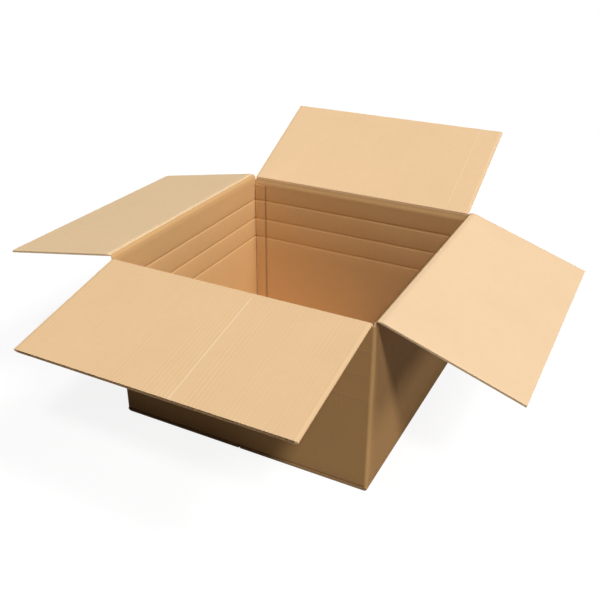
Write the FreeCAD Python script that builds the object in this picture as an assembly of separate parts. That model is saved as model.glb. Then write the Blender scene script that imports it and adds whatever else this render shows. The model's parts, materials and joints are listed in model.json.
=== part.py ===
"""Open corrugated shipping carton, regular slotted style, in millimetres.

The origin is the middle of the underside, +Z is up, and the front wall faces -Y.
One sheet of double-wall board is folded into four walls, a closed bottom and four top flaps.
The left and right flaps are the outer pair, and the front and rear flaps tuck in under them.
"""
import FreeCAD, Part

import math
import os

from FreeCAD import Vector

# Outside of the standing carton
length = 560.0
width = 560.0
wall_height = 365.0

# Double-wall board, named from the outside face to the inside face
liner = 0.5
fine_flute = 2.0
coarse_flute = 2.9
fine_pitch = 6.35
coarse_pitch = 7.9
medium_paper = 0.4
glue_line = 0.12
cut_edge_depth = 10.0
side_channel = 1.2
edge_crush = 1.4
edge_crush_width = 6.0

# Folds: radius outside and inside, clearance each side of a crease, and between two layers
fold_radius = 7.0
inside_radius = 0.6
crease_gap = 0.25
layer_gap = 0.4

# Gap left between the two flaps of a pair when they are closed, and how far their ends stand in
outer_seam_gap = 16.0
inner_seam_gap = 8.0
bottom_seam_gap = 3.0
outer_flap_inset = 2.0
inner_flap_clearance = 0.6
slot_overcut = 2.0

# Angle of each top flap above the horizontal as it lies open
left_angle = -10.2
right_angle = -18.8
front_angle = -12.4
rear_angle = 27.3

# Score lines pressed round the inside of the walls, for cutting the carton down to a lower height
score_count = 3
first_score_drop = 60.0
score_spacing = 50.0
score_width = 8.0
score_depth = 1.4

# Glued joint: a tab of the left wall on the inside of the rear wall
tab_width = 27.0
tab_thickness = 3.0
tab_corner_gap = 1.6
tab_top_gap = 5.0
tab_bottom_gap = 6.0
tab_taper = 3.0
joint_groove = 5.5

# Press marks along the flutes on the front and rear flaps, measured from the middle of the flap
front_mark_offset = 43.0
rear_mark_offset = 221.0
mark_width = 3.2
mark_depth = 0.3

# Tape along the bottom seam, pressed flush with the underside and lapping each flap
tape_lap = 22.0
tape_thickness = 0.2
tape_end_gap = 3.0
tape_side_gap = 0.1

# Worked out from the sizes above
board = 3 * liner + fine_flute + coarse_flute
half_length = length / 2
half_width = width / 2
inside_x = half_length - board
inside_y = half_width - board
outer_flap_reach = half_length - outer_seam_gap / 2
inner_flap_reach = half_width - inner_seam_gap / 2
layer_step = board + layer_gap
outer_fold_height = wall_height
inner_fold_height = wall_height - layer_step
outer_flap_half = half_width - outer_flap_inset
inner_flap_half = inside_x - inner_flap_clearance
slot_height = inner_fold_height - crease_gap - slot_overcut
bottom_top = layer_step + board
tape_width = bottom_seam_gap + 2 * tape_lap
margin = 1.0


def box_between(low, high):
    size = high - low
    return Part.makeBox(size.x, size.y, size.z, low)


def prism(points, direction):
    wire = Part.makePolygon(points + [points[0]])
    return Part.Face(wire).extrude(direction)


def arc(start, middle, end):
    return Part.Arc(start, middle, end).toShape()


def line(start, end):
    return Part.LineSegment(start, end).toShape()


def folded_wall(half_span, fold_line, bottom_level, flap_end, top_fold):
    """One wall and the bottom flap folded from it, as an L with a rounded fold and a mitred top.

    It is drawn as the right-hand wall, standing at +X and running along Y.
    """
    outside = fold_line
    inside = fold_line - board
    low = bottom_level
    high = bottom_level + board
    corner = outside - fold_radius
    bend = fold_radius * (1 - math.cos(math.pi / 4))
    inner_bend = inside_radius * (1 - math.cos(math.pi / 4))
    inner_corner = inside - inside_radius
    top_outside = top_fold - crease_gap
    top_inside = top_outside - board

    def place(u, v):
        return Vector(u, -half_span, v)

    edges = [
        line(place(flap_end, low), place(corner, low)),
        arc(
            place(corner, low),
            place(outside - bend, low + bend),
            place(outside, low + fold_radius),
        ),
        line(place(outside, low + fold_radius), place(outside, top_outside)),
        line(place(outside, top_outside), place(inside, top_inside)),
        line(place(inside, top_inside), place(inside, high + inside_radius)),
        arc(
            place(inside, high + inside_radius),
            place(inside - inner_bend, high + inner_bend),
            place(inner_corner, high),
        ),
        line(place(inner_corner, high), place(flap_end, high)),
        line(place(flap_end, high), place(flap_end, low)),
    ]
    return Part.Face(Part.Wire(edges)).extrude(Vector(0, 2 * half_span, 0))


def turned(shape, angle):
    copy = shape.copy()
    copy.rotate(Vector(0, 0, 0), Vector(0, 0, 1), angle)
    return copy


def outer_walls():
    """Right and left walls, whose bottom flaps lie outermost."""
    wall = folded_wall(outer_flap_half, half_length, 0, bottom_seam_gap / 2, outer_fold_height)
    return [turned(wall, 0), turned(wall, 180)]


def inner_walls():
    """Rear and front walls, whose bottom flaps lie on top of the outer pair."""
    seam_end = half_width - inner_flap_reach
    wall = folded_wall(inside_x, half_width, layer_step, seam_end, inner_fold_height)
    return [turned(wall, 90), turned(wall, -90)]


def bottom_end_slits():
    """Clearance between the ends of the inner bottom flaps and the left and right walls."""
    slits = []
    for side in (-1, 1):
        x_ends = sorted((side * inner_flap_half, side * inside_x))
        slits.append(
            box_between(
                Vector(x_ends[0], -inside_y, layer_step),
                Vector(x_ends[1], inside_y, bottom_top),
            )
        )
    return slits


def corner_posts():
    """The sheet round each upright fold, between the slots that part the flaps."""
    posts = []
    for x_side in (-1, 1):
        for y_side in (-1, 1):
            x_ends = sorted((x_side * inside_x, x_side * half_length))
            y_ends = sorted((y_side * inside_y, y_side * half_width))
            posts.append(
                box_between(
                    Vector(x_ends[0], y_ends[0], layer_step),
                    Vector(x_ends[1], y_ends[1], slot_height),
                )
            )
    return posts


def upright_envelope():
    """Outside of the walls in plan: three rounded folds, and the square cut end of the rear wall."""
    x, y, r = half_length, half_width, fold_radius
    k = r * (1 - math.cos(math.pi / 4))
    edges = [
        line(Vector(-x, y, 0), Vector(-x, r - y, 0)),
        arc(Vector(-x, r - y, 0), Vector(k - x, k - y, 0), Vector(r - x, -y, 0)),
        line(Vector(r - x, -y, 0), Vector(x - r, -y, 0)),
        arc(Vector(x - r, -y, 0), Vector(x - k, k - y, 0), Vector(x, r - y, 0)),
        line(Vector(x, r - y, 0), Vector(x, y - r, 0)),
        arc(Vector(x, y - r, 0), Vector(x - k, y - k, 0), Vector(x - r, y, 0)),
        line(Vector(x - r, y, 0), Vector(-x, y, 0)),
    ]
    return Part.Face(Part.Wire(edges)).extrude(Vector(0, 0, wall_height))


def joint_seam():
    """Groove outside the glued joint, where the rounded fold of the tab meets the rear wall's cut end."""
    x, y = -half_length, inside_y
    r = fold_radius
    reach = joint_groove
    rise = r - math.sqrt(r * r - (r - reach) ** 2)
    k = r * (1 - math.cos(math.pi / 4))
    edges = [
        arc(Vector(x, y - r, 0), Vector(x + k, y - k, 0), Vector(x + reach, y - rise, 0)),
        line(Vector(x + reach, y - rise, 0), Vector(x + reach, y, 0)),
        line(Vector(x + reach, y, 0), Vector(x - margin, y, 0)),
        line(Vector(x - margin, y, 0), Vector(x - margin, y - r, 0)),
        line(Vector(x - margin, y - r, 0), Vector(x, y - r, 0)),
    ]
    groove = Part.Face(Part.Wire(edges)).extrude(Vector(0, 0, slot_height - layer_step))
    groove.translate(Vector(0, 0, layer_step))
    return groove


def score_heights():
    return [wall_height - first_score_drop - i * score_spacing for i in range(score_count)]


def score_tool(start, direction, span, inward):
    """Round-bottomed groove of the score's width and depth, along a wall whose inside faces inward."""
    radius = ((score_width / 2) ** 2 + score_depth ** 2) / (2 * score_depth)
    base = start + inward * (radius - score_depth)
    return Part.makeCylinder(radius, span, base, direction)


def wall_scores():
    """Grooves round the four walls. Those that meet the glue tab stop at its edge and its face."""
    left, right, front, rear = -inside_x, inside_x, -inside_y, inside_y
    across, along = Vector(1, 0, 0), Vector(0, 1, 0)
    tab_edge = left + tab_width
    tools = []
    for z in score_heights():
        runs = [
            (Vector(right, front, z), along, rear - front, -across),
            (Vector(left, front, z), along, rear - tab_thickness - front, across),
            (Vector(left, front, z), across, right - left, along),
            (Vector(tab_edge, rear, z), across, right - tab_edge, -along),
        ]
        tools += [score_tool(*run) for run in runs]
    return tools


def glue_tab():
    """Crushed tab glued to the inside of the rear wall, with tapered ends and the scores across it.

    Its own crease is crushed to a narrow groove, which parts it from the left wall.
    """
    low = bottom_top + tab_bottom_gap
    high = inner_fold_height - board - tab_top_gap
    corner = tab_corner_gap - inside_x
    edge = tab_width - inside_x
    face = inside_y - tab_thickness
    tab = prism(
        [
            Vector(corner, face, low),
            Vector(edge, face, low + tab_taper),
            Vector(edge, face, high - tab_taper),
            Vector(corner, face, high),
        ],
        Vector(0, tab_thickness, 0),
    )
    scores = []
    for z in score_heights():
        start = Vector(corner - margin, face, z)
        scores.append(
            score_tool(start, Vector(1, 0, 0), tab_width + 2 * margin, Vector(0, -1, 0))
        )
    return tab.cut(scores)


def tape_recess():
    half = tape_width / 2 + tape_side_gap
    end = outer_flap_half - tape_end_gap + tape_side_gap
    return box_between(Vector(-half, -end, -margin), Vector(half, end, tape_thickness))


def carton_body():
    panels = outer_walls() + inner_walls() + corner_posts()
    body = panels[0].fuse(panels[1:]).common(upright_envelope())
    body = body.cut(bottom_end_slits() + wall_scores() + [joint_seam(), tape_recess()])
    return body.fuse(glue_tab()).removeSplitter()


def flute_slots(half_span, low, height, pitch):
    """Open spaces over and under one fluted paper, as two zigzag outlines (across, depth)."""
    start = -half_span
    steps = int(2 * half_span / pitch) * 2
    crest = low + height - glue_line - medium_paper
    trough = low + glue_line
    first = start + (2 * half_span - steps * pitch / 2) / 2
    wave = [(first + i * pitch / 2, crest if i % 2 else trough) for i in range(steps + 1)]
    under = [(wave[0][0], low)] + wave + [(wave[-1][0], low)]
    lifted = [(x, z + medium_paper) for x, z in wave]
    over = [(wave[0][0], low + height)] + lifted + [(wave[-1][0], low + height)]
    return [under, over]


def flat_flap(half_span, reach, mark_offset=None):
    """A flap lying flat: X along the fold, Y away from it, Z from the outside liner to the inside one.

    The fold line is the X axis. The near edge is mitred and the free edge shows the flutes end on.
    The two side edges are crushed thin by the slotting knife, with a channel between the liners.
    """
    section = [
        Vector(-half_span, crease_gap, 0),
        Vector(-half_span, reach, 0),
        Vector(-half_span, reach, board),
        Vector(-half_span, crease_gap + board, board),
    ]
    flap = prism(section, Vector(2 * half_span, 0, 0))
    fine_low = liner
    coarse_low = 2 * liner + fine_flute
    cuts = []
    open_half = half_span - edge_crush_width
    outlines = flute_slots(open_half, fine_low, fine_flute, fine_pitch)
    outlines += flute_slots(open_half, coarse_low, coarse_flute, coarse_pitch)
    for outline in outlines:
        points = [Vector(x, reach - cut_edge_depth, z) for x, z in outline]
        cuts.append(prism(points, Vector(0, cut_edge_depth + margin, 0)))
    middle_low, middle_high = fine_low + fine_flute, coarse_low
    channels = ((edge_crush + liner, middle_low), (middle_high, board - edge_crush - liner))
    run = Vector(0, reach + margin, 0)
    for side in (-1, 1):
        outermost = side * (half_span + margin)
        ends = sorted((side * (half_span - side_channel), outermost))
        for low, high in channels:
            cuts.append(box_between(Vector(ends[0], 0, low), Vector(ends[1], reach + margin, high)))
        inner_edge = side * (half_span - edge_crush_width)
        slope = edge_crush / edge_crush_width
        depth = edge_crush + slope * margin
        for face, inward in ((0, 1), (board, -1)):
            wedge = [
                Vector(inner_edge, 0, face),
                Vector(outermost, 0, face + inward * depth),
                Vector(outermost, 0, face - inward * margin),
                Vector(inner_edge, 0, face - inward * margin),
            ]
            cuts.append(prism(wedge, run))
    if mark_offset is not None:
        mark = [
            Vector(mark_offset - mark_width / 2, 0, board),
            Vector(mark_offset, 0, board - mark_depth),
            Vector(mark_offset + mark_width / 2, 0, board),
        ]
        cuts.append(prism(mark, Vector(0, reach + margin, 0)))
    return flap.cut(cuts)


def hang_flap(flap, turn, angle, fold_point):
    """Tilt a flat flap about its fold line, turn it to its side of the carton and set it on its fold."""
    flap.rotate(Vector(0, 0, 0), Vector(1, 0, 0), angle)
    flap.rotate(Vector(0, 0, 0), Vector(0, 0, 1), turn)
    flap.translate(fold_point)
    return flap


def top_flap_front():
    flap = flat_flap(inner_flap_half, inner_flap_reach, -front_mark_offset)
    return hang_flap(flap, 180, front_angle, Vector(0, -half_width, inner_fold_height))


def top_flap_rear():
    flap = flat_flap(inner_flap_half, inner_flap_reach, rear_mark_offset)
    return hang_flap(flap, 0, rear_angle, Vector(0, half_width, inner_fold_height))


def top_flap_left():
    flap = flat_flap(outer_flap_half, outer_flap_reach)
    return hang_flap(flap, 90, left_angle, Vector(-half_length, 0, outer_fold_height))


def top_flap_right():
    flap = flat_flap(outer_flap_half, outer_flap_reach)
    return hang_flap(flap, -90, right_angle, Vector(half_length, 0, outer_fold_height))


def bottom_tape():
    half = tape_width / 2
    end = outer_flap_half - tape_end_gap
    return box_between(Vector(-half, -end, 0), Vector(half, end, tape_thickness))


nodes = {
    "carton_body": carton_body,
    "top_flap_front": top_flap_front,
    "top_flap_rear": top_flap_rear,
    "top_flap_left": top_flap_left,
    "top_flap_right": top_flap_right,
    "bottom_tape": bottom_tape,
}

os.makedirs("parts", exist_ok=True)
for name, make in nodes.items():
    shape = make()
    box = shape.BoundBox
    print(
        "%-16s solids %d  faces %4d  valid %s  volume %.0f mm3  z %.1f to %.1f"
        % (name, len(shape.Solids), len(shape.Faces), shape.isValid(), shape.Volume, box.ZMin, box.ZMax)
    )
    shape.exportStep("parts/%s.step" % name)
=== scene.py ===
"""Looks of the open corrugated carton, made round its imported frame.

Sizes in this script are millimetres unless a name says otherwise, and meshes are written in metres.
Each side of the carton is drawn in its own axes: out of the box, along the wall, and up.
"""

import json
import math

import bmesh
import bpy
import numpy as np
from mathutils import Matrix, Vector


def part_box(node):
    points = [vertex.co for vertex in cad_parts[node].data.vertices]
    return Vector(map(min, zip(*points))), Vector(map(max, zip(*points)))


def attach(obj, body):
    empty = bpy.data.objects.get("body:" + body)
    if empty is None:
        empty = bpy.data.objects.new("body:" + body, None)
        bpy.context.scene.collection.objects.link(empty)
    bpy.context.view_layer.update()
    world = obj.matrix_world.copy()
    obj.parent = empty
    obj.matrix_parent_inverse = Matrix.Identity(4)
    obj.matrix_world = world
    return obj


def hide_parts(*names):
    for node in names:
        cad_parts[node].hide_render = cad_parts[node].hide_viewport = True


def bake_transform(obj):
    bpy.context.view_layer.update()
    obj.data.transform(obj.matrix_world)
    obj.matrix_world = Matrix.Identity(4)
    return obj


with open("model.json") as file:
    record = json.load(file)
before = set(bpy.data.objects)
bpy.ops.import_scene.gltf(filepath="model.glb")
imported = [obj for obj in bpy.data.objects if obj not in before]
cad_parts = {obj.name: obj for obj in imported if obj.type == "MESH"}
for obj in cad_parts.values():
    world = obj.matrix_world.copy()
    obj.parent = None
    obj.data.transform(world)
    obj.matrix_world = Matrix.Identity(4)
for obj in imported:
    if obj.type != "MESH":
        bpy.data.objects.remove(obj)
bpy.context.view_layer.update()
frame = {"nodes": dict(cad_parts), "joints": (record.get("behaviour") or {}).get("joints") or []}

MM = 0.001

# Board: its papers and flutes are those of the frame's solids
liner = 0.5
fine_flute = 2.0
coarse_flute = 2.9
board = 3 * liner + fine_flute + coarse_flute
fine_pitch = 6.35
coarse_pitch = 7.9
medium_paper = 0.4
cut_edge_depth = 10.0
paper_overlap = 0.1

# Knife-cut side edges, crushed more outside and less inside than in the frame's solids
side_channel = 0.3
edge_crush_width = 6.0
inside_crush = 0.7
outside_crush = 1.9

# Carton
body_high = np.array(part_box("carton_body")[1]) / MM
half_length = body_high[0]
half_width = body_high[1]
inside_x = half_length - board
inside_y = half_width - board
outer_seam_gap = 16.0
inner_seam_gap = 8.0
bottom_seam_gap = 3.0
outer_flap_inset = 2.0
inner_flap_clearance = 0.6
layer_gap = 0.4
outer_flap_reach = half_length - outer_seam_gap / 2
inner_flap_reach = half_width - inner_seam_gap / 2
outer_flap_half = half_width - outer_flap_inset
inner_flap_half = inside_x - inner_flap_clearance
layer_step = board + layer_gap
bottom_top = layer_step + board
slot_overcut = 2.25
fold_radius = 7.0
inside_radius = 0.6
# Pale streak down the rounded upright corners: rubbing of the paper, and a painted highlight where the
# rounding catches the light
corner_wear_and_highlight = 0.2
corner_steps = 12
post_overlap = 0.2
# Pale band along the rounded bottom folds: rubbing of the paper, and a painted highlight on the fold's
# crest
bottom_fold_wear_and_highlight = 0.6
bottom_fold_rows = 7
bottom_flap_rows = 8
outside_columns = 13

# Creases: how far each reaches from its fold, how thin it is crushed, and how far its bend spreads
crease_reach = 13.0
crease_thickness = 4.6
crease_wall_rows = 8
crease_flap_rows = (0.0, 2.0, 4.0, 6.0, 8.0, 10.5, crease_reach)

# A crease leaves the wall at its foot, measured down from the fold, and the flap thickens over its ramp
front_crease = {"foot": 4.5, "root_thickness": 6.2, "root_ramp": 2.0, "shade": 0.0}
# A crease's shade is painted shade that darkens the paper at its foot and root; only the rear crease has
# one
rear_crease = {"foot": 4.0, "root_thickness": 2.0, "root_ramp": 2.0, "shade": 0.12}
outer_crease = {"foot": 0.0, "root_thickness": crease_thickness, "root_ramp": 10.0, "shade": 0.0}

# Scores round the inside, and the press marks on two flaps
first_score_drop = 60.0
score_spacing = 50.0
score_count = 3
score_width = 9.0
score_depth = 1.4
score_ghost = 0.12
score_rows = 9
front_mark = 48.0
rear_mark = -221.0
mark_width = 2.2
mark_depth = 0.35
mark_wear = 0.6
mark_wear_spread = 1.1
mark_margin = 0.2

# Glue tab
tab_width = 27.0
tab_thickness = 3.0
tab_corner_gap = 1.6
tab_top_gap = 5.0
tab_bottom_gap = 6.0
tab_taper = 3.0
tab_sink = 1.6
tab_columns = 7
# Dark band on the rear wall beside the tab's edge: painted shadow of the tab, partly glue
tab_shade = 0.55
tab_shade_width = 2.2
tab_shade_offset = 2.0
joint_groove = 5.5

# The liner sinks a little between the flute tips
washboard_depth = 0.06
samples_per_flute = 4
samples_per_cut_flute = 8
row_step = 22.0
fade_start = 4.0
fade_length = 16.0

# Finishes, as material slots of each mesh
INNER, OUTER, EDGE, FLAP = 0, 1, 2, 3

# Flutes show through the liner unevenly, one by one and in groups
random = np.random.default_rng(11)
flutes_in_group = 5
group_count = 40
flute_count = flutes_in_group * group_count
group_strength = random.uniform(0.1, 1.5, group_count)
flute_strength = random.uniform(0.3, 1.5, flute_count)
flute_groups = np.arange(flute_count) / flutes_in_group
flute_strength *= np.interp(flute_groups, np.arange(group_count), group_strength)


def smoothstep(t):
    t = np.clip(t, 0, 1)
    return t * t * (3 - 2 * t)


def srgb(red, green, blue):
    """A colour as a paint chart gives it, 0 to 255, as the linear values that shaders take."""
    def one(value):
        value = value / 255
        return value / 12.92 if value <= 0.04045 else ((value + 0.055) / 1.055) ** 2.4
    return (one(red), one(green), one(blue), 1)


class Shells:
    """Gathers the closed shells of one piece, with sheet coordinates, finish, and pale and dark marks of
    rubbing and painted light.
    """

    def __init__(self):
        self.points = []
        self.sheet = []
        self.wear_and_painted_light = []
        self.faces = []
        self.finish = []

    def add_grid(self, points, sheet, wear_and_painted_light):
        rows, columns = points.shape[:2]
        first = len(self.points)
        self.points.extend(points.reshape(-1, 3))
        self.sheet.extend(sheet.reshape(-1, 2))
        self.wear_and_painted_light.extend(wear_and_painted_light.reshape(-1))
        return first + np.arange(rows * columns).reshape(rows, columns)

    def add_quads(self, index, finish):
        corners = (index[:-1, :-1], index[1:, :-1], index[1:, 1:], index[:-1, 1:])
        quads = np.stack(corners, axis=-1).reshape(-1, 4)
        self.faces.extend(quads.tolist())
        rows, columns = corners[0].shape
        by_row = np.broadcast_to(np.reshape(finish, (-1, 1)), (rows, columns))
        self.finish.extend(by_row.reshape(-1).tolist())

    def add_rim(self, near, far, finish):
        """Joins two boundary lines, by quads if they match and by one flat face if not."""
        if len(near) == len(far):
            self.add_quads(np.stack([near, far]), finish)
        else:
            self.faces.append(list(near) + list(far[::-1]))
            self.finish.append(finish)

    def add_slab(self, inner, outer, finishes):
        """A closed slab between two grids with the same rows. Each grid is points, sheet, and its pale and
        dark marks of rubbing and painted light.
        """
        inside = self.add_grid(*inner)
        outside = self.add_grid(*outer)
        self.add_quads(inside, finishes[0])
        self.add_quads(outside[:, ::-1], finishes[1])
        for end in (0, -1):
            self.add_rim(inside[end], outside[end], finishes[2])
            self.add_rim(inside[:, end], outside[:, end], finishes[2])

    def add_prism(self, outline, low, high, finish, wear_and_painted_light=0.0):
        """An upright prism on a plan outline."""
        plan = np.array(outline, dtype=float)
        count = len(plan)
        ends = [np.column_stack([plan, np.full(count, z)]) for z in (low, high)]
        points = np.stack(ends)
        run = np.concatenate([[0], np.cumsum(np.linalg.norm(np.diff(plan, axis=0), axis=1))])
        sheet = np.stack([np.column_stack([run, np.full(count, z)]) for z in (low, high)])
        index = self.add_grid(points, sheet, np.broadcast_to(wear_and_painted_light, (2, count)))
        closed = np.concatenate([index, index[:, :1]], axis=1)
        self.add_quads(closed, finish)
        for end in index:
            self.faces.append(end.tolist())
            self.finish.append(EDGE)

    def build(self, name, materials, sharpest=38):
        mesh = bpy.data.meshes.new(name)
        mesh.from_pydata((np.array(self.points) * MM).tolist(), [], self.faces)
        for material in materials:
            mesh.materials.append(material)
        mesh.polygons.foreach_set("material_index", self.finish)
        mesh.polygons.foreach_set("use_smooth", [True] * len(self.faces))
        corner_points = np.empty(len(mesh.loops), dtype=int)
        mesh.loops.foreach_get("vertex_index", corner_points)
        sheet = np.array(self.sheet)[corner_points] * MM
        mesh.uv_layers.new(name="sheet").data.foreach_set("uv", sheet.ravel())
        # Pale and dark marks per point: rubbing, painted highlight and painted shade
        wear_and_painted_light = mesh.attributes.new("wear_and_painted_light", "FLOAT", "POINT")
        wear_and_painted_light.data.foreach_set("value", self.wear_and_painted_light)
        work = bmesh.new()
        work.from_mesh(mesh)
        bmesh.ops.remove_doubles(work, verts=work.verts, dist=1e-7)
        bmesh.ops.dissolve_degenerate(work, edges=work.edges, dist=1e-7)
        bmesh.ops.recalc_face_normals(work, faces=work.faces)
        work.to_mesh(mesh)
        work.free()
        mesh.set_sharp_from_angle(angle=math.radians(sharpest))
        piece = bpy.data.objects.new(name, mesh)
        bpy.context.scene.collection.objects.link(piece)
        return piece


class Side:
    """One side of the carton: its directions, its fold and the sizes of its flaps."""

    def __init__(self, name, out, outer_pair, wall_flutes, flap_flutes, crease, mark=None):
        joint = next(j for j in frame["joints"] if j["name"] == name + "_flap_fold")
        self.name = name
        self.out = np.array(out, dtype=float)
        self.up = np.array((0.0, 0.0, 1.0))
        self.along = np.cross(self.up, self.out)
        self.fold = np.array(joint["pos_m"]) / MM
        self.fold_height = self.fold[2]
        self.tilt = math.radians(180 - joint["range_deg"][1])
        self.outer_pair = outer_pair
        self.half_depth = half_length if outer_pair else half_width
        self.wall_half = inside_y if outer_pair else inside_x
        self.flap_half = outer_flap_half if outer_pair else inner_flap_half
        self.reach = outer_flap_reach if outer_pair else inner_flap_reach
        self.bottom_level = 0.0 if outer_pair else layer_step
        self.seam_gap = bottom_seam_gap if outer_pair else inner_seam_gap
        self.wall_flutes = wall_flutes
        self.flap_flutes = flap_flutes
        self.crease = crease
        self.mark = mark

    def place(self, u, s, z):
        """World points from distance out of the middle, distance along the wall, and height."""
        u, s, z = np.broadcast_arrays(u, s, z)
        return u[..., None] * self.out + s[..., None] * self.along + z[..., None] * self.up

    def place_on_flap(self, d, s, n):
        """World points from distance off the fold, distance along it, and height over the outside."""
        u = self.half_depth + d * math.cos(self.tilt) - n * math.sin(self.tilt)
        z = self.fold_height + d * math.sin(self.tilt) + n * math.cos(self.tilt)
        return self.place(u, s, z)


inner_fold_height = min(j["pos_m"][2] for j in frame["joints"]) / MM
outer_fold_height = max(j["pos_m"][2] for j in frame["joints"]) / MM
slot_height = inner_fold_height - slot_overcut
score_heights = [outer_fold_height - first_score_drop - i * score_spacing for i in range(score_count)]

# Flute strengths are for the wall's two ends, then for the flap
sides = (
    Side("front", (0, -1, 0), False, (1.0, 1.0), 1.0, front_crease, front_mark),
    Side("rear", (0, 1, 0), False, (4.0, 0.6), 0.7, rear_crease, rear_mark),
    Side("left", (-1, 0, 0), True, (0.8, 0.8), 0.3, outer_crease),
    Side("right", (1, 0, 0), True, (0.8, 0.8), 0.2, outer_crease),
)


def fine_columns(half, mark=None):
    """Places along a wall, a few to each flute, with both ends and the edges of a press mark."""
    step = coarse_pitch / samples_per_flute
    count = int(half / step)
    places = [i * step for i in range(-count, count + 1)]
    places += [-half, half]
    if mark is not None:
        places = [p for p in places if abs(p - mark) > mark_width / 2 + mark_margin]
        places += [mark - mark_width / 2, mark, mark + mark_width / 2]
    return np.array(sorted(set(places)))


def washboard(strength, s, fade):
    """How far the liner sinks between the flute tips, stronger on some flutes than on others."""
    flute = np.floor(s / coarse_pitch + 0.5).astype(int) + len(flute_strength) // 2
    wave = 0.5 - 0.5 * np.cos(2 * math.pi * (s / coarse_pitch + 0.5))
    return washboard_depth * flute_strength[flute] * strength * wave * fade


def wall_strength(side, s):
    """How much the flutes show through a wall's inside, from one end of the wall to the other."""
    return np.interp(s, (-side.wall_half, side.wall_half), side.wall_flutes)


def press_mark(s, mark):
    if mark is None:
        return np.zeros_like(s)
    return mark_depth * np.clip(1 - np.abs(s - mark) / (mark_width / 2), 0, 1)


def score_groove(z):
    depth = np.zeros_like(z)
    for height in score_heights:
        near = np.clip(np.abs(z - height) / (score_width / 2), 0, 1)
        depth = depth + score_depth * (0.5 + 0.5 * np.cos(math.pi * near))
    return depth


def fold_fade(d):
    """0 at a crease and 1 away from it."""
    return smoothstep((d - fade_start) / fade_length)


def wall_rows(low, high):
    """Heights down a wall, dense across each score."""
    marks = [high]
    for height in score_heights:
        marks += [height + score_width / 2 * t for t in np.linspace(1, -1, score_rows)]
    marks.append(low)
    rows = []
    for above, below in zip(marks[:-1], marks[1:]):
        pieces = max(1, round((above - below) / row_step))
        rows += [above + (below - above) * i / pieces for i in range(pieces)]
    return np.array(rows + [low])


def seam_rounding(side, s):
    """How far the left wall's outside turns in where its fold meets the rear wall's cut end."""
    if side.name != "left":
        return np.zeros_like(s)
    run = np.clip(-s - (inside_y - fold_radius), 0, fold_radius)
    return np.minimum(fold_radius - np.sqrt(fold_radius ** 2 - run ** 2), joint_groove)


def add_wall(shells, side):
    """A wall and the bottom flap folded from it, as one slab with its rounded bottom fold."""
    top = side.fold_height - crease_reach
    corner_z = side.bottom_level + fold_radius
    corner_u = side.half_depth - fold_radius
    heights = wall_rows(corner_z, top)
    bends = np.radians(np.linspace(0, 90, bottom_fold_rows))
    runs = np.linspace(corner_u, side.seam_gap / 2, bottom_flap_rows + 1)[1:]

    outer_u = np.concatenate(
        [np.full(len(heights), side.half_depth), corner_u + fold_radius * np.cos(bends), runs]
    )
    outer_z = np.concatenate(
        [heights, corner_z - fold_radius * np.sin(bends), np.full(len(runs), side.bottom_level)]
    )
    inner_u = np.concatenate(
        [
            np.full(len(heights), side.half_depth - board),
            corner_u + inside_radius * np.cos(bends),
            runs,
        ]
    )
    inner_z = np.concatenate(
        [
            heights,
            corner_z - inside_radius * np.sin(bends),
            np.full(len(runs), side.bottom_level + board),
        ]
    )
    on_wall = np.arange(len(outer_z)) < len(heights)
    half = np.where(on_wall, side.wall_half, side.flap_half)
    travel = np.concatenate(
        [[0], np.cumsum(np.hypot(np.diff(outer_u), np.diff(outer_z)))]
    ) + crease_reach

    longest = max(side.wall_half, side.flap_half)
    columns = np.array(sorted(set(fine_columns(side.wall_half)) | {-longest, longest}))
    s = np.clip(columns[None, :], -half[:, None], half[:, None])
    fade = fold_fade(travel)[:, None] * on_wall[:, None]
    ends = smoothstep((side.wall_half - np.abs(s)) / coarse_pitch)
    scores = score_groove(inner_z)[:, None] * on_wall[:, None]
    sink = washboard(wall_strength(side, s), s, fade * ends) + scores
    inner_points = side.place(inner_u[:, None] + sink, s, inner_z[:, None])
    inner_sheet = np.stack(np.broadcast_arrays(s, travel[:, None]), axis=-1)

    coarse = [-longest, -side.wall_half, side.wall_half, longest]
    coarse += list(np.linspace(-side.wall_half, side.wall_half, outside_columns)[1:-1])
    if side.name == "left":
        coarse += [fold_radius * (0.2 * i) - inside_y for i in range(1, 6)]
    coarse = np.array(sorted(set(coarse)))
    s_out = np.clip(coarse[None, :], -half[:, None], half[:, None])
    turn_in = seam_rounding(side, s_out) * on_wall[:, None]
    ghost = score_ghost * score_groove(outer_z)[:, None] * on_wall[:, None]
    outer_points = side.place(outer_u[:, None] - turn_in + ghost, s_out, outer_z[:, None])
    outer_sheet = np.stack(np.broadcast_arrays(s_out, travel[:, None]), axis=-1)

    # Pale band along the crest of the bottom fold: rubbing, and painted highlight
    bend_wear_and_highlight = np.zeros(len(outer_z))
    bend_wear_and_highlight[len(heights):len(heights) + len(bends)] = bottom_fold_wear_and_highlight * np.sin(2 * bends)
    outer_wear_and_highlight = np.broadcast_to(bend_wear_and_highlight[:, None], s_out.shape)
    inner_shadow_and_glue = np.zeros(s.shape)
    # Darkens the rear wall's inside beside the tab's edge: painted shadow, partly glue
    if side.name == "rear":
        from_tab = s - (inside_x - tab_width - tab_shade_offset)
        inner_shadow_and_glue = -tab_shade * np.exp(-(from_tab / tab_shade_width) ** 2) * on_wall[:, None]
    shells.add_slab(
        (inner_points, inner_sheet, inner_shadow_and_glue),
        (outer_points, outer_sheet, outer_wear_and_highlight),
        (INNER, OUTER, EDGE),
    )


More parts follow.
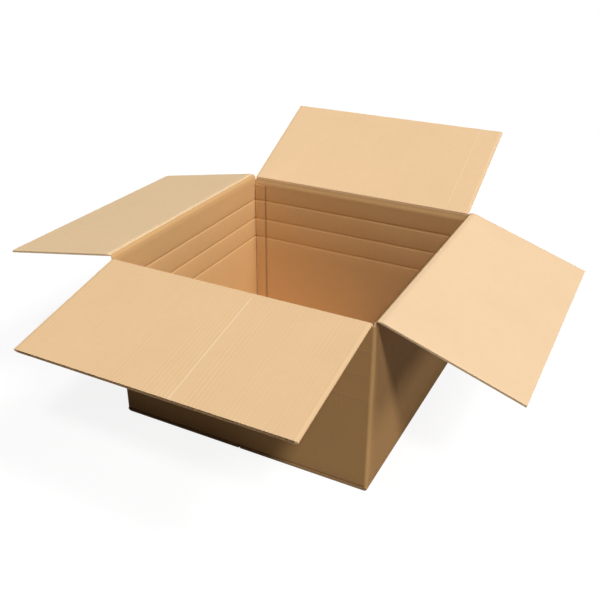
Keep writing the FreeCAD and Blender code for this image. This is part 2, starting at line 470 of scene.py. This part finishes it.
def add_corner_post(shells, x_side, y_side):
    """The sheet round one upright fold, up to the slots. The joint's corner is the rear wall's cut end."""
    inner_x, inner_y = inside_x - post_overlap, inside_y - post_overlap
    if (x_side, y_side) == (-1, 1):
        channel_x = half_length - side_channel
        outline = [(inner_x, inner_y), (inner_x, inside_y), (half_length, inside_y)]
        for low, height in (
            (inside_y + liner, coarse_flute),
            (half_width - liner - fine_flute, fine_flute),
        ):
            high = low + height
            outline += [(half_length, low), (channel_x, low), (channel_x, high), (half_length, high)]
        outline += [(half_length, half_width), (inner_x, half_width)]
        wear_and_painted_light = 0.0
    else:
        centre_x, centre_y = half_length - fold_radius, half_width - fold_radius
        first = math.asin(inside_radius / fold_radius)
        outline = [(inner_x, inner_y)]
        wear_and_painted_light = [0.0]
        for i in range(corner_steps + 1):
            angle = first + (math.pi / 2 - 2 * first) * i / corner_steps
            outline.append(
                (centre_x + fold_radius * math.cos(angle), centre_y + fold_radius * math.sin(angle))
            )
            # The streak is palest halfway round the rounding: rubbing, and painted highlight
            wear_and_painted_light.append(corner_wear_and_highlight * math.sin(math.pi * i / corner_steps) ** 2)
    plan = [(x_side * x, y_side * y) for x, y in outline]
    shells.add_prism(plan, layer_step, slot_height, OUTER, wear_and_painted_light)


def add_glue_tab(shells):
    """Crushed tab of the left wall on the inside of the rear wall, with the scores across it."""
    low = bottom_top + tab_bottom_gap
    high = inner_fold_height - board - tab_top_gap
    heights = wall_rows(low + tab_taper, high - tab_taper)
    x = np.linspace(tab_corner_gap - inside_x, tab_width - inside_x, tab_columns)
    taper = tab_taper * (x + inside_x) / tab_width
    z = np.tile(heights[:, None], (1, len(x)))
    z[0] = high - taper
    z[-1] = low + taper
    face = inside_y - tab_thickness + score_groove(z)
    back = np.full_like(z, inside_y + tab_sink)
    x_grid = np.tile(x, (len(heights), 1))
    sheet = np.stack([x_grid, z], axis=-1)
    shells.add_slab(
        (np.stack([x_grid, face, z], axis=-1), sheet, np.zeros(z.shape)),
        (np.stack([x_grid, back, z], axis=-1), sheet, np.zeros(z.shape)),
        (INNER, OUTER, OUTER),
    )


def add_sheet(shells, side, columns, low, high, finishes, first=crease_reach, last=None):
    """One paper of a flap, as a thin slab. low and high are heights over the flap's outside."""
    last = side.reach if last is None else last
    rows = np.linspace(first, last, max(2, round((last - first) / row_step)))
    d = rows[:, None]
    s = columns[None, :]
    top = high(d, s)
    bottom = low(d, s)
    sheet = np.stack(np.broadcast_arrays(s, -d), axis=-1)
    plain = np.zeros(sheet.shape[:2])
    paling = plain
    if side.mark is not None and finishes[0] == INNER:
        nearness = np.clip(mark_wear_spread - np.abs(s - side.mark) / mark_width, 0, 1)
        paling = plain + mark_wear * nearness
    shells.add_slab(
        (side.place_on_flap(d, s, top), sheet, paling),
        (side.place_on_flap(d, s, bottom), sheet, plain),
        finishes,
    )


def flap_face(side):
    """The inside liner's outer surface, with the washboard and the press mark."""
    def height(d, s):
        ends = smoothstep((side.flap_half - np.abs(s)) / coarse_pitch)
        sink = washboard(side.flap_flutes, s, fold_fade(d) * ends) + press_mark(s, side.mark)
        return board - sink - inside_crush * side_crush(side, s)
    return height


def flute_wave(low, height, pitch, offset):
    """Upper or lower surface of a fluted paper that fills a space."""
    middle = low + height / 2
    swing = (height - medium_paper) / 2
    return lambda d, s: middle + swing * np.cos(2 * math.pi * s / pitch) + offset + 0 * d


def side_crush(side, s):
    """Share of the crush, 0 to 1, across the last few millimetres before a knife-cut side edge."""
    from_edge = side.flap_half - np.abs(s)
    return np.clip(1 - from_edge / edge_crush_width, 0, 1)


def add_flap(shells, side):
    """Three liners, a closed core, and two fluted papers that show at the free edge."""
    half = side.flap_half
    flat = half - edge_crush_width
    channel = half - side_channel
    broad = np.array([-half, -flat, flat, half])
    middle = liner + fine_flute
    core = (EDGE, EDGE, EDGE)
    cut = (EDGE, EDGE, INNER)

    def crushed(height, crush):
        return lambda d, s: height + crush * side_crush(side, s) + 0 * d

    columns = np.array(sorted(set(fine_columns(half, side.mark)) | {-flat, flat}))
    add_sheet(
        shells, side, columns, crushed(board - liner, -inside_crush), flap_face(side),
        (INNER, EDGE, INNER),
    )
    add_sheet(
        shells, side, broad, crushed(0, outside_crush), crushed(liner, outside_crush),
        (EDGE, OUTER, INNER),
    )
    add_sheet(shells, side, broad, crushed(middle, 0), crushed(middle + liner, 0), cut)

    core_end = side.reach - cut_edge_depth
    layers = (
        (crushed(liner - paper_overlap, outside_crush), crushed(middle + paper_overlap, 0)),
        (
            crushed(middle + liner - paper_overlap, 0),
            crushed(board - liner + paper_overlap, -inside_crush),
        ),
    )
    for low, high in layers:
        add_sheet(shells, side, np.array([-flat, flat]), low, high, core, last=core_end)
        add_sheet(shells, side, np.array([-channel, -flat]), low, high, cut)
        add_sheet(shells, side, np.array([flat, channel]), low, high, cut)
    for low, height, pitch in (
        (liner, fine_flute, fine_pitch),
        (middle + liner, coarse_flute, coarse_pitch),
    ):
        step = pitch / samples_per_cut_flute
        count = int(flat / step)
        add_sheet(
            shells, side, np.arange(-count, count + 1) * step,
            flute_wave(low, height, pitch, -medium_paper / 2),
            flute_wave(low, height, pitch, medium_paper / 2),
            core, first=core_end - 0.5,
        )


def crease_profile(side):
    """Rows of the fold strip, up the wall and out along the flap.

    A row is its inner point, its outer point, its travel across the fold, its half length and its painted
    shade.
    The inside liner crosses the fold in one flat step. The step starts low on the two lower folds, to
    leave room for the flaps that close over them.
    """
    flap_out = np.array((math.cos(side.tilt), math.sin(side.tilt)))
    flap_up = np.array((-math.sin(side.tilt), math.cos(side.tilt)))
    slot_drop = side.fold_height - slot_height
    foot = side.crease["foot"]
    root_thickness = side.crease["root_thickness"]
    step = root_thickness * flap_up - np.array((-crease_thickness, -foot))
    half_step = np.linalg.norm(step) / 2
    rows = []

    drops = set(np.linspace(foot, crease_reach, crease_wall_rows)) | {max(slot_drop, foot)}
    for d in sorted(drops, reverse=True):
        still_crushed = ((crease_reach - d) / (crease_reach - foot)) ** 2
        thickness = board - (board - crease_thickness) * still_crushed
        shade = side.crease["shade"] if d == foot else 0.0
        row = ((-thickness, -d), (0.0, -d), foot - d - half_step)
        rows.append((*row, side.wall_half if d >= slot_drop else side.flap_half, shade))
        if d == slot_drop:
            rows.append((*row, side.flap_half, shade))
    for d in crease_flap_rows:
        thickened = float(smoothstep(d / side.crease["root_ramp"]))
        thickness = root_thickness + (board - root_thickness) * thickened
        inner = d * flap_out + thickness * flap_up
        shade = side.crease["shade"] if d == 0.0 else 0.0
        rows.append((tuple(inner), tuple(d * flap_out), d + half_step, side.flap_half, shade))
    return rows


def add_crease(shells, side):
    """The crushed fold between a wall and its flap."""
    rows = crease_profile(side)
    inner = np.array([row[0] for row in rows])
    outer = np.array([row[1] for row in rows])
    travel = np.array([row[2] for row in rows])
    half = np.array([row[3] for row in rows])
    mark = side.mark
    longest = max(side.wall_half, side.flap_half)
    columns = fine_columns(side.flap_half, mark)
    flat = side.flap_half - edge_crush_width
    columns = np.array(sorted(set(columns) | {-longest, -flat, flat, longest}))
    s = np.clip(columns[None, :], -half[:, None], half[:, None])
    distance = np.abs(travel)[:, None]
    ends = smoothstep((min(side.wall_half, side.flap_half) - np.abs(s)) / coarse_pitch)
    strength = np.where(travel[:, None] < 0, wall_strength(side, s), side.flap_flutes)
    sink = washboard(strength, s, fold_fade(distance) * ends)
    on_flap = smoothstep(travel[:, None] / crease_reach)
    cut_side = (np.abs(half - side.flap_half) < 0.01)[:, None]
    sink = sink + press_mark(s, mark) * on_flap + inside_crush * side_crush(side, s) * cut_side
    reach = np.linalg.norm(inner - outer, axis=1)
    toward = (inner - outer) / np.maximum(reach, 1e-6)[:, None]
    u = side.half_depth + inner[:, 0, None] - toward[:, 0, None] * sink
    z = side.fold_height + inner[:, 1, None] - toward[:, 1, None] * sink
    inner_sheet = np.stack(np.broadcast_arrays(s, -travel[:, None]), axis=-1)
    paper = np.where(travel[:-1] < 0, INNER, FLAP)
    coarse = {-longest, -side.flap_half, -flat, 0.0, flat, side.flap_half, longest}
    coarse = np.array(sorted(coarse))
    s_out = np.clip(coarse[None, :], -half[:, None], half[:, None])
    outer_sheet = np.stack(np.broadcast_arrays(s_out, -travel[:, None]), axis=-1)
    lift = outside_crush * side_crush(side, s_out) * cut_side
    outer_points = side.place(
        side.half_depth + outer[:, 0, None] + toward[:, 0, None] * lift,
        s_out,
        side.fold_height + outer[:, 1, None] + toward[:, 1, None] * lift,
    )
    # Painted shade at the crease's foot and root, as dark marks on the inside paper
    shade = np.broadcast_to(np.array([-row[4] for row in rows])[:, None], s.shape)
    shells.add_slab(
        (side.place(u, s, z), inner_sheet, shade),
        (outer_points, outer_sheet, np.zeros(s_out.shape)),
        (paper, OUTER, FLAP),
    )


def new_material(name):
    material = bpy.data.materials.new(name)
    material.use_nodes = True
    nodes = material.node_tree.nodes
    return material, nodes, material.node_tree.links, nodes["Principled BSDF"]


def math_node(nodes, links, operation, first, second=0.0):
    node = nodes.new("ShaderNodeMath")
    node.operation = operation
    for socket, value in zip(node.inputs, (first, second)):
        if isinstance(value, (int, float)):
            socket.default_value = value
        else:
            links.new(value, socket)
    return node.outputs[0]


def scaled(nodes, links, value, factor, offset):
    """The value times a factor, plus an offset."""
    product = math_node(nodes, links, "MULTIPLY_ADD", value, factor)
    product.node.inputs[2].default_value = offset
    return product


def mix_colours(nodes, links, blend, amount, first, second):
    node = nodes.new("ShaderNodeMix")
    node.data_type = "RGBA"
    node.blend_type = blend
    node.clamp_factor = True
    for socket, value in ((node.inputs[0], amount), (node.inputs[6], first), (node.inputs[7], second)):
        if isinstance(value, (int, float, tuple)):
            socket.default_value = value
        else:
            links.new(value, socket)
    return node.outputs[2]


def tinted(nodes, links, colour, shade):
    """A colour made lighter or darker by a shade round 1."""
    grey = nodes.new("ShaderNodeCombineColor")
    for socket in grey.inputs:
        links.new(shade, socket)
    return mix_colours(nodes, links, "MULTIPLY", 1.0, colour, grey.outputs[0])


def add_bump(nodes, links, shader, height, strength):
    bump = nodes.new("ShaderNodeBump")
    bump.inputs["Strength"].default_value = strength
    bump.inputs["Distance"].default_value = 0.0002
    links.new(height, bump.inputs["Height"])
    links.new(bump.outputs[0], shader.inputs["Normal"])


def noise(nodes, links, vector, scale, detail=3.0, stretch=None):
    if stretch is not None:
        mapping = nodes.new("ShaderNodeMapping")
        mapping.inputs["Scale"].default_value = stretch
        links.new(vector, mapping.inputs["Vector"])
        vector = mapping.outputs[0]
    node = nodes.new("ShaderNodeTexNoise")
    node.inputs["Scale"].default_value = scale
    node.inputs["Detail"].default_value = detail
    links.new(vector, node.inputs["Vector"])
    return node.outputs["Fac"]


def kraft(name, colour, pale_tone, flute_tone_and_shade, roughness):
    """Kraft liner: soft blotches, fine fibres, faint lines over the flutes that are partly painted shading
    of their ripples, pale marks of rubbing and painted highlight, and dark marks of painted shade.
    """
    material, nodes, links, shader = new_material(name)
    sheet = nodes.new("ShaderNodeUVMap")
    sheet.uv_map = "sheet"
    place = sheet.outputs[0]
    split = nodes.new("ShaderNodeSeparateXYZ")
    links.new(place, split.inputs[0])

    blotch = noise(nodes, links, place, 7.0, 2.0)
    cloud = noise(nodes, links, place, 60.0, 4.0)
    fibre = noise(nodes, links, place, 1.0, 3.0, (2600.0, 700.0, 1.0))
    line = noise(nodes, links, place, 1.0, 1.0, (260.0, 3.0, 1.0))

    # Faint light and dark lines over the flutes: partly the paper's tone, partly painted shading of the
    # washboard ripples
    turns = math_node(nodes, links, "MULTIPLY", split.outputs[0], 2 * math.pi / (coarse_pitch * MM))
    tip = math_node(nodes, links, "COSINE", turns)
    tip = math_node(nodes, links, "MULTIPLY", tip, flute_tone_and_shade)
    group = noise(nodes, links, place, 1.0, 2.0, (38.0, 1.5, 1.0))
    group = scaled(nodes, links, group, 3.6, -1.35)
    group.node.use_clamp = True
    tip = math_node(nodes, links, "MULTIPLY", tip, group)
    strength = math_node(nodes, links, "MULTIPLY", tip, line)

    shade = scaled(nodes, links, blotch, 0.08, 0.96)
    shade = math_node(nodes, links, "ADD", shade, strength)
    cloud = scaled(nodes, links, cloud, 0.05, 0.975)
    shade = math_node(nodes, links, "MULTIPLY", shade, cloud)
    fibre_tone = scaled(nodes, links, fibre, 0.14, 0.93)
    shade = math_node(nodes, links, "MULTIPLY", shade, fibre_tone)

    base = tinted(nodes, links, colour, shade)
    wear_and_painted_light = nodes.new("ShaderNodeAttribute")
    wear_and_painted_light.attribute_name = "wear_and_painted_light"
    # Pale marks: rubbing of the paper, and painted highlight on fold crests and corners
    paling = math_node(nodes, links, "MULTIPLY", wear_and_painted_light.outputs["Fac"], cloud)
    base = mix_colours(nodes, links, "MIX", paling, base, pale_tone)
    # Dark marks: painted shade at the rear crease and beside the glue tab
    dark = math_node(nodes, links, "MULTIPLY", wear_and_painted_light.outputs["Fac"], -1.0)
    base = mix_colours(nodes, links, "MULTIPLY", dark, base, srgb(120, 92, 62))
    links.new(base, shader.inputs["Base Color"])

    shader.inputs["Roughness"].default_value = roughness
    shader.inputs["Specular IOR Level"].default_value = 0.3
    add_bump(nodes, links, shader, fibre, 0.25)
    return material


def cut_board():
    """Cut edges and the fluted papers inside: darker, rougher paper."""
    material, nodes, links, shader = new_material("cut_board")
    place = nodes.new("ShaderNodeTexCoord").outputs["Object"]
    speck = noise(nodes, links, place, 900.0, 3.0)
    base = tinted(nodes, links, srgb(176, 140, 98), scaled(nodes, links, speck, 0.5, 0.75))
    links.new(base, shader.inputs["Base Color"])
    shader.inputs["Roughness"].default_value = 0.9
    shader.inputs["Specular IOR Level"].default_value = 0.2
    return material


def parcel_tape():
    """Brown packing tape: thin gloss film with faint lengthwise ripples."""
    material, nodes, links, shader = new_material("parcel_tape")
    place = nodes.new("ShaderNodeTexCoord").outputs["Object"]
    ripple = noise(nodes, links, place, 1.0, 2.0, (900.0, 14.0, 1.0))
    patch = noise(nodes, links, place, 30.0, 3.0)
    base = tinted(nodes, links, srgb(168, 122, 72), scaled(nodes, links, patch, 0.3, 0.85))
    links.new(base, shader.inputs["Base Color"])
    shader.inputs["Roughness"].default_value = 0.28
    shader.inputs["Coat Weight"].default_value = 0.3
    add_bump(nodes, links, shader, ripple, 0.2)
    return material


def floor_material():
    """Plain pale floor. Seen by the camera it is near white and still takes the carton's shadow."""
    material, nodes, links, shader = new_material("pale_floor")
    shader.inputs["Base Color"].default_value = srgb(150, 150, 150)
    shader.inputs["Roughness"].default_value = 0.9
    shader.inputs["Specular IOR Level"].default_value = 0.1
    seen = nodes.new("ShaderNodeBsdfDiffuse")
    seen.inputs["Color"].default_value = (0.16, 0.16, 0.16, 1)
    glow = nodes.new("ShaderNodeEmission")
    glow.inputs["Strength"].default_value = 0.88
    both = nodes.new("ShaderNodeAddShader")
    links.new(seen.outputs[0], both.inputs[0])
    links.new(glow.outputs[0], both.inputs[1])
    path = nodes.new("ShaderNodeLightPath")
    pick = nodes.new("ShaderNodeMixShader")
    links.new(path.outputs["Is Camera Ray"], pick.inputs[0])
    links.new(shader.outputs[0], pick.inputs[1])
    links.new(both.outputs[0], pick.inputs[2])
    links.new(pick.outputs[0], nodes["Material Output"].inputs["Surface"])
    return material


def add_floor():
    """A floor that reaches six metres each way from the middle of the carton."""
    size = 6.0
    mesh = bpy.data.meshes.new("floor")
    corners = [(-size, -size, 0), (size, -size, 0), (size, size, 0), (-size, size, 0)]
    mesh.from_pydata(corners, [], [(0, 1, 2, 3)])
    mesh.materials.append(floor_material())
    floor = bpy.data.objects.new("floor", mesh)
    bpy.context.scene.collection.objects.link(floor)


def add_camera():
    """The photograph's viewpoint: a slightly long lens, looking down at the front-right corner."""
    azimuth = math.radians(26.954)
    elevation = math.radians(27.801)
    roll = math.radians(0.411)
    place = Vector((0.6708, -1.3297, 0.9947))
    lens = 46.204
    back = Vector(
        (
            math.sin(azimuth) * math.cos(elevation),
            -math.cos(azimuth) * math.cos(elevation),
            math.sin(elevation),
        )
    )
    level_right = Vector((math.cos(azimuth), math.sin(azimuth), 0))
    level_up = back.cross(level_right)
    right_way = level_right * math.cos(roll) + level_up * math.sin(roll)
    up_way = level_up * math.cos(roll) - level_right * math.sin(roll)
    data = bpy.data.cameras.new("camera")
    data.sensor_width = 36.0
    data.lens = lens
    camera = bpy.data.objects.new("camera", data)
    turn = Matrix((right_way, up_way, back)).transposed().to_4x4()
    camera.matrix_world = Matrix.Translation(place) @ turn
    bpy.context.scene.collection.objects.link(camera)
    bpy.context.scene.camera = camera


def add_lamps():
    """Three soft suns from the front right and the right, and a faint surround that looks white.

    Each sun has its angle round from the front, its angle of height, its strength and its spread. The
    angles and the spread are in degrees.
    """
    for name, azimuth, elevation, strength, width in (
        ("key", 43, 50, 1.72, 8),
        ("side", 90, 52, 1.32, 14),
        ("low_side", 90, 28, 0.74, 18),
    ):
        lamp_data = bpy.data.lights.new(name, "SUN")
        lamp_data.energy = strength
        lamp_data.angle = math.radians(width)
        lamp = bpy.data.objects.new(name, lamp_data)
        across, rise = math.radians(azimuth), math.radians(elevation)
        toward_light = Vector(
            (
                math.sin(across) * math.cos(rise),
                -math.cos(across) * math.cos(rise),
                math.sin(rise),
            )
        )
        lamp.rotation_mode = "QUATERNION"
        lamp.rotation_quaternion = toward_light.to_track_quat("Z", "Y")
        bpy.context.scene.collection.objects.link(lamp)

    world = bpy.data.worlds.new("surround")
    bpy.context.scene.world = world
    world.use_nodes = True
    nodes, links = world.node_tree.nodes, world.node_tree.links
    ambient = nodes["Background"]
    ambient.inputs["Color"].default_value = (1, 1, 1, 1)
    ambient.inputs["Strength"].default_value = 0.03
    seen = nodes.new("ShaderNodeBackground")
    seen.inputs["Color"].default_value = (1, 1, 1, 1)
    path = nodes.new("ShaderNodeLightPath")
    pick = nodes.new("ShaderNodeMixShader")
    links.new(path.outputs["Is Camera Ray"], pick.inputs[0])
    links.new(ambient.outputs[0], pick.inputs[1])
    links.new(seen.outputs[0], pick.inputs[2])
    links.new(pick.outputs[0], nodes["World Output"].inputs["Surface"])


def add_carton(finishes):
    """Four walls with their bottom flaps, four upright folds and the glue tab."""
    shells = Shells()
    for side in sides:
        add_wall(shells, side)
    for x_side in (-1, 1):
        for y_side in (-1, 1):
            add_corner_post(shells, x_side, y_side)
    add_glue_tab(shells)
    carton = shells.build("carton_sheet", finishes)
    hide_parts("carton_body")
    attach(carton, "carton")


def add_side(side, finishes, crease_finishes):
    """One top flap, and the crease that joins it to its wall."""
    body = side.name + "_flap"
    shells = Shells()
    add_flap(shells, side)
    flap = shells.build(body + "_panel", finishes)
    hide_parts("top_flap_" + side.name)
    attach(flap, body)

    shells = Shells()
    add_crease(shells, side)
    crease = shells.build(side.name + "_crease", crease_finishes, sharpest=55)
    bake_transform(crease)


def main():
    pale_tone = srgb(248, 222, 184)
    # The insides of the flaps and walls are one liner drawn in lighter and darker copies, each flap as the
    # light falls on it: painted light and shade
    flap_colours_lit_and_shaded = {
        "front": srgb(241, 203, 156),
        "rear": srgb(247, 210, 164),
        "left": srgb(253, 220, 175),
        "right": srgb(241, 208, 167),
    }
    # How strongly each flap's flute lines show: partly painted shading of the ripples
    flute_tones_and_shade = {"front": 0.06, "rear": 0.04, "left": 0.03, "right": 0.01}
    # The walls' inside is the flaps' liner drawn darker: painted shade
    shaded_wall_paper = kraft("kraft_inside", srgb(209, 166, 113), srgb(232, 196, 150), 0.025, 0.8)
    outside = kraft("kraft_outside", srgb(186, 142, 90), srgb(206, 166, 116), 0.03, 0.75)
    edge = cut_board()
    add_carton([shaded_wall_paper, outside, edge])
    for side in sides:
        flap_paper = kraft(
            "kraft_" + side.name + "_flap", flap_colours_lit_and_shaded[side.name], pale_tone, flute_tones_and_shade[side.name], 0.8
        )
        add_side(side, [flap_paper, outside, edge], [shaded_wall_paper, outside, edge, flap_paper])
    tape = frame["nodes"]["bottom_tape"]
    tape.data.materials.clear()
    tape.data.materials.append(parcel_tape())
    add_floor()
    add_lamps()
    add_camera()
    bpy.context.scene.view_settings.view_transform = "Standard"


main()
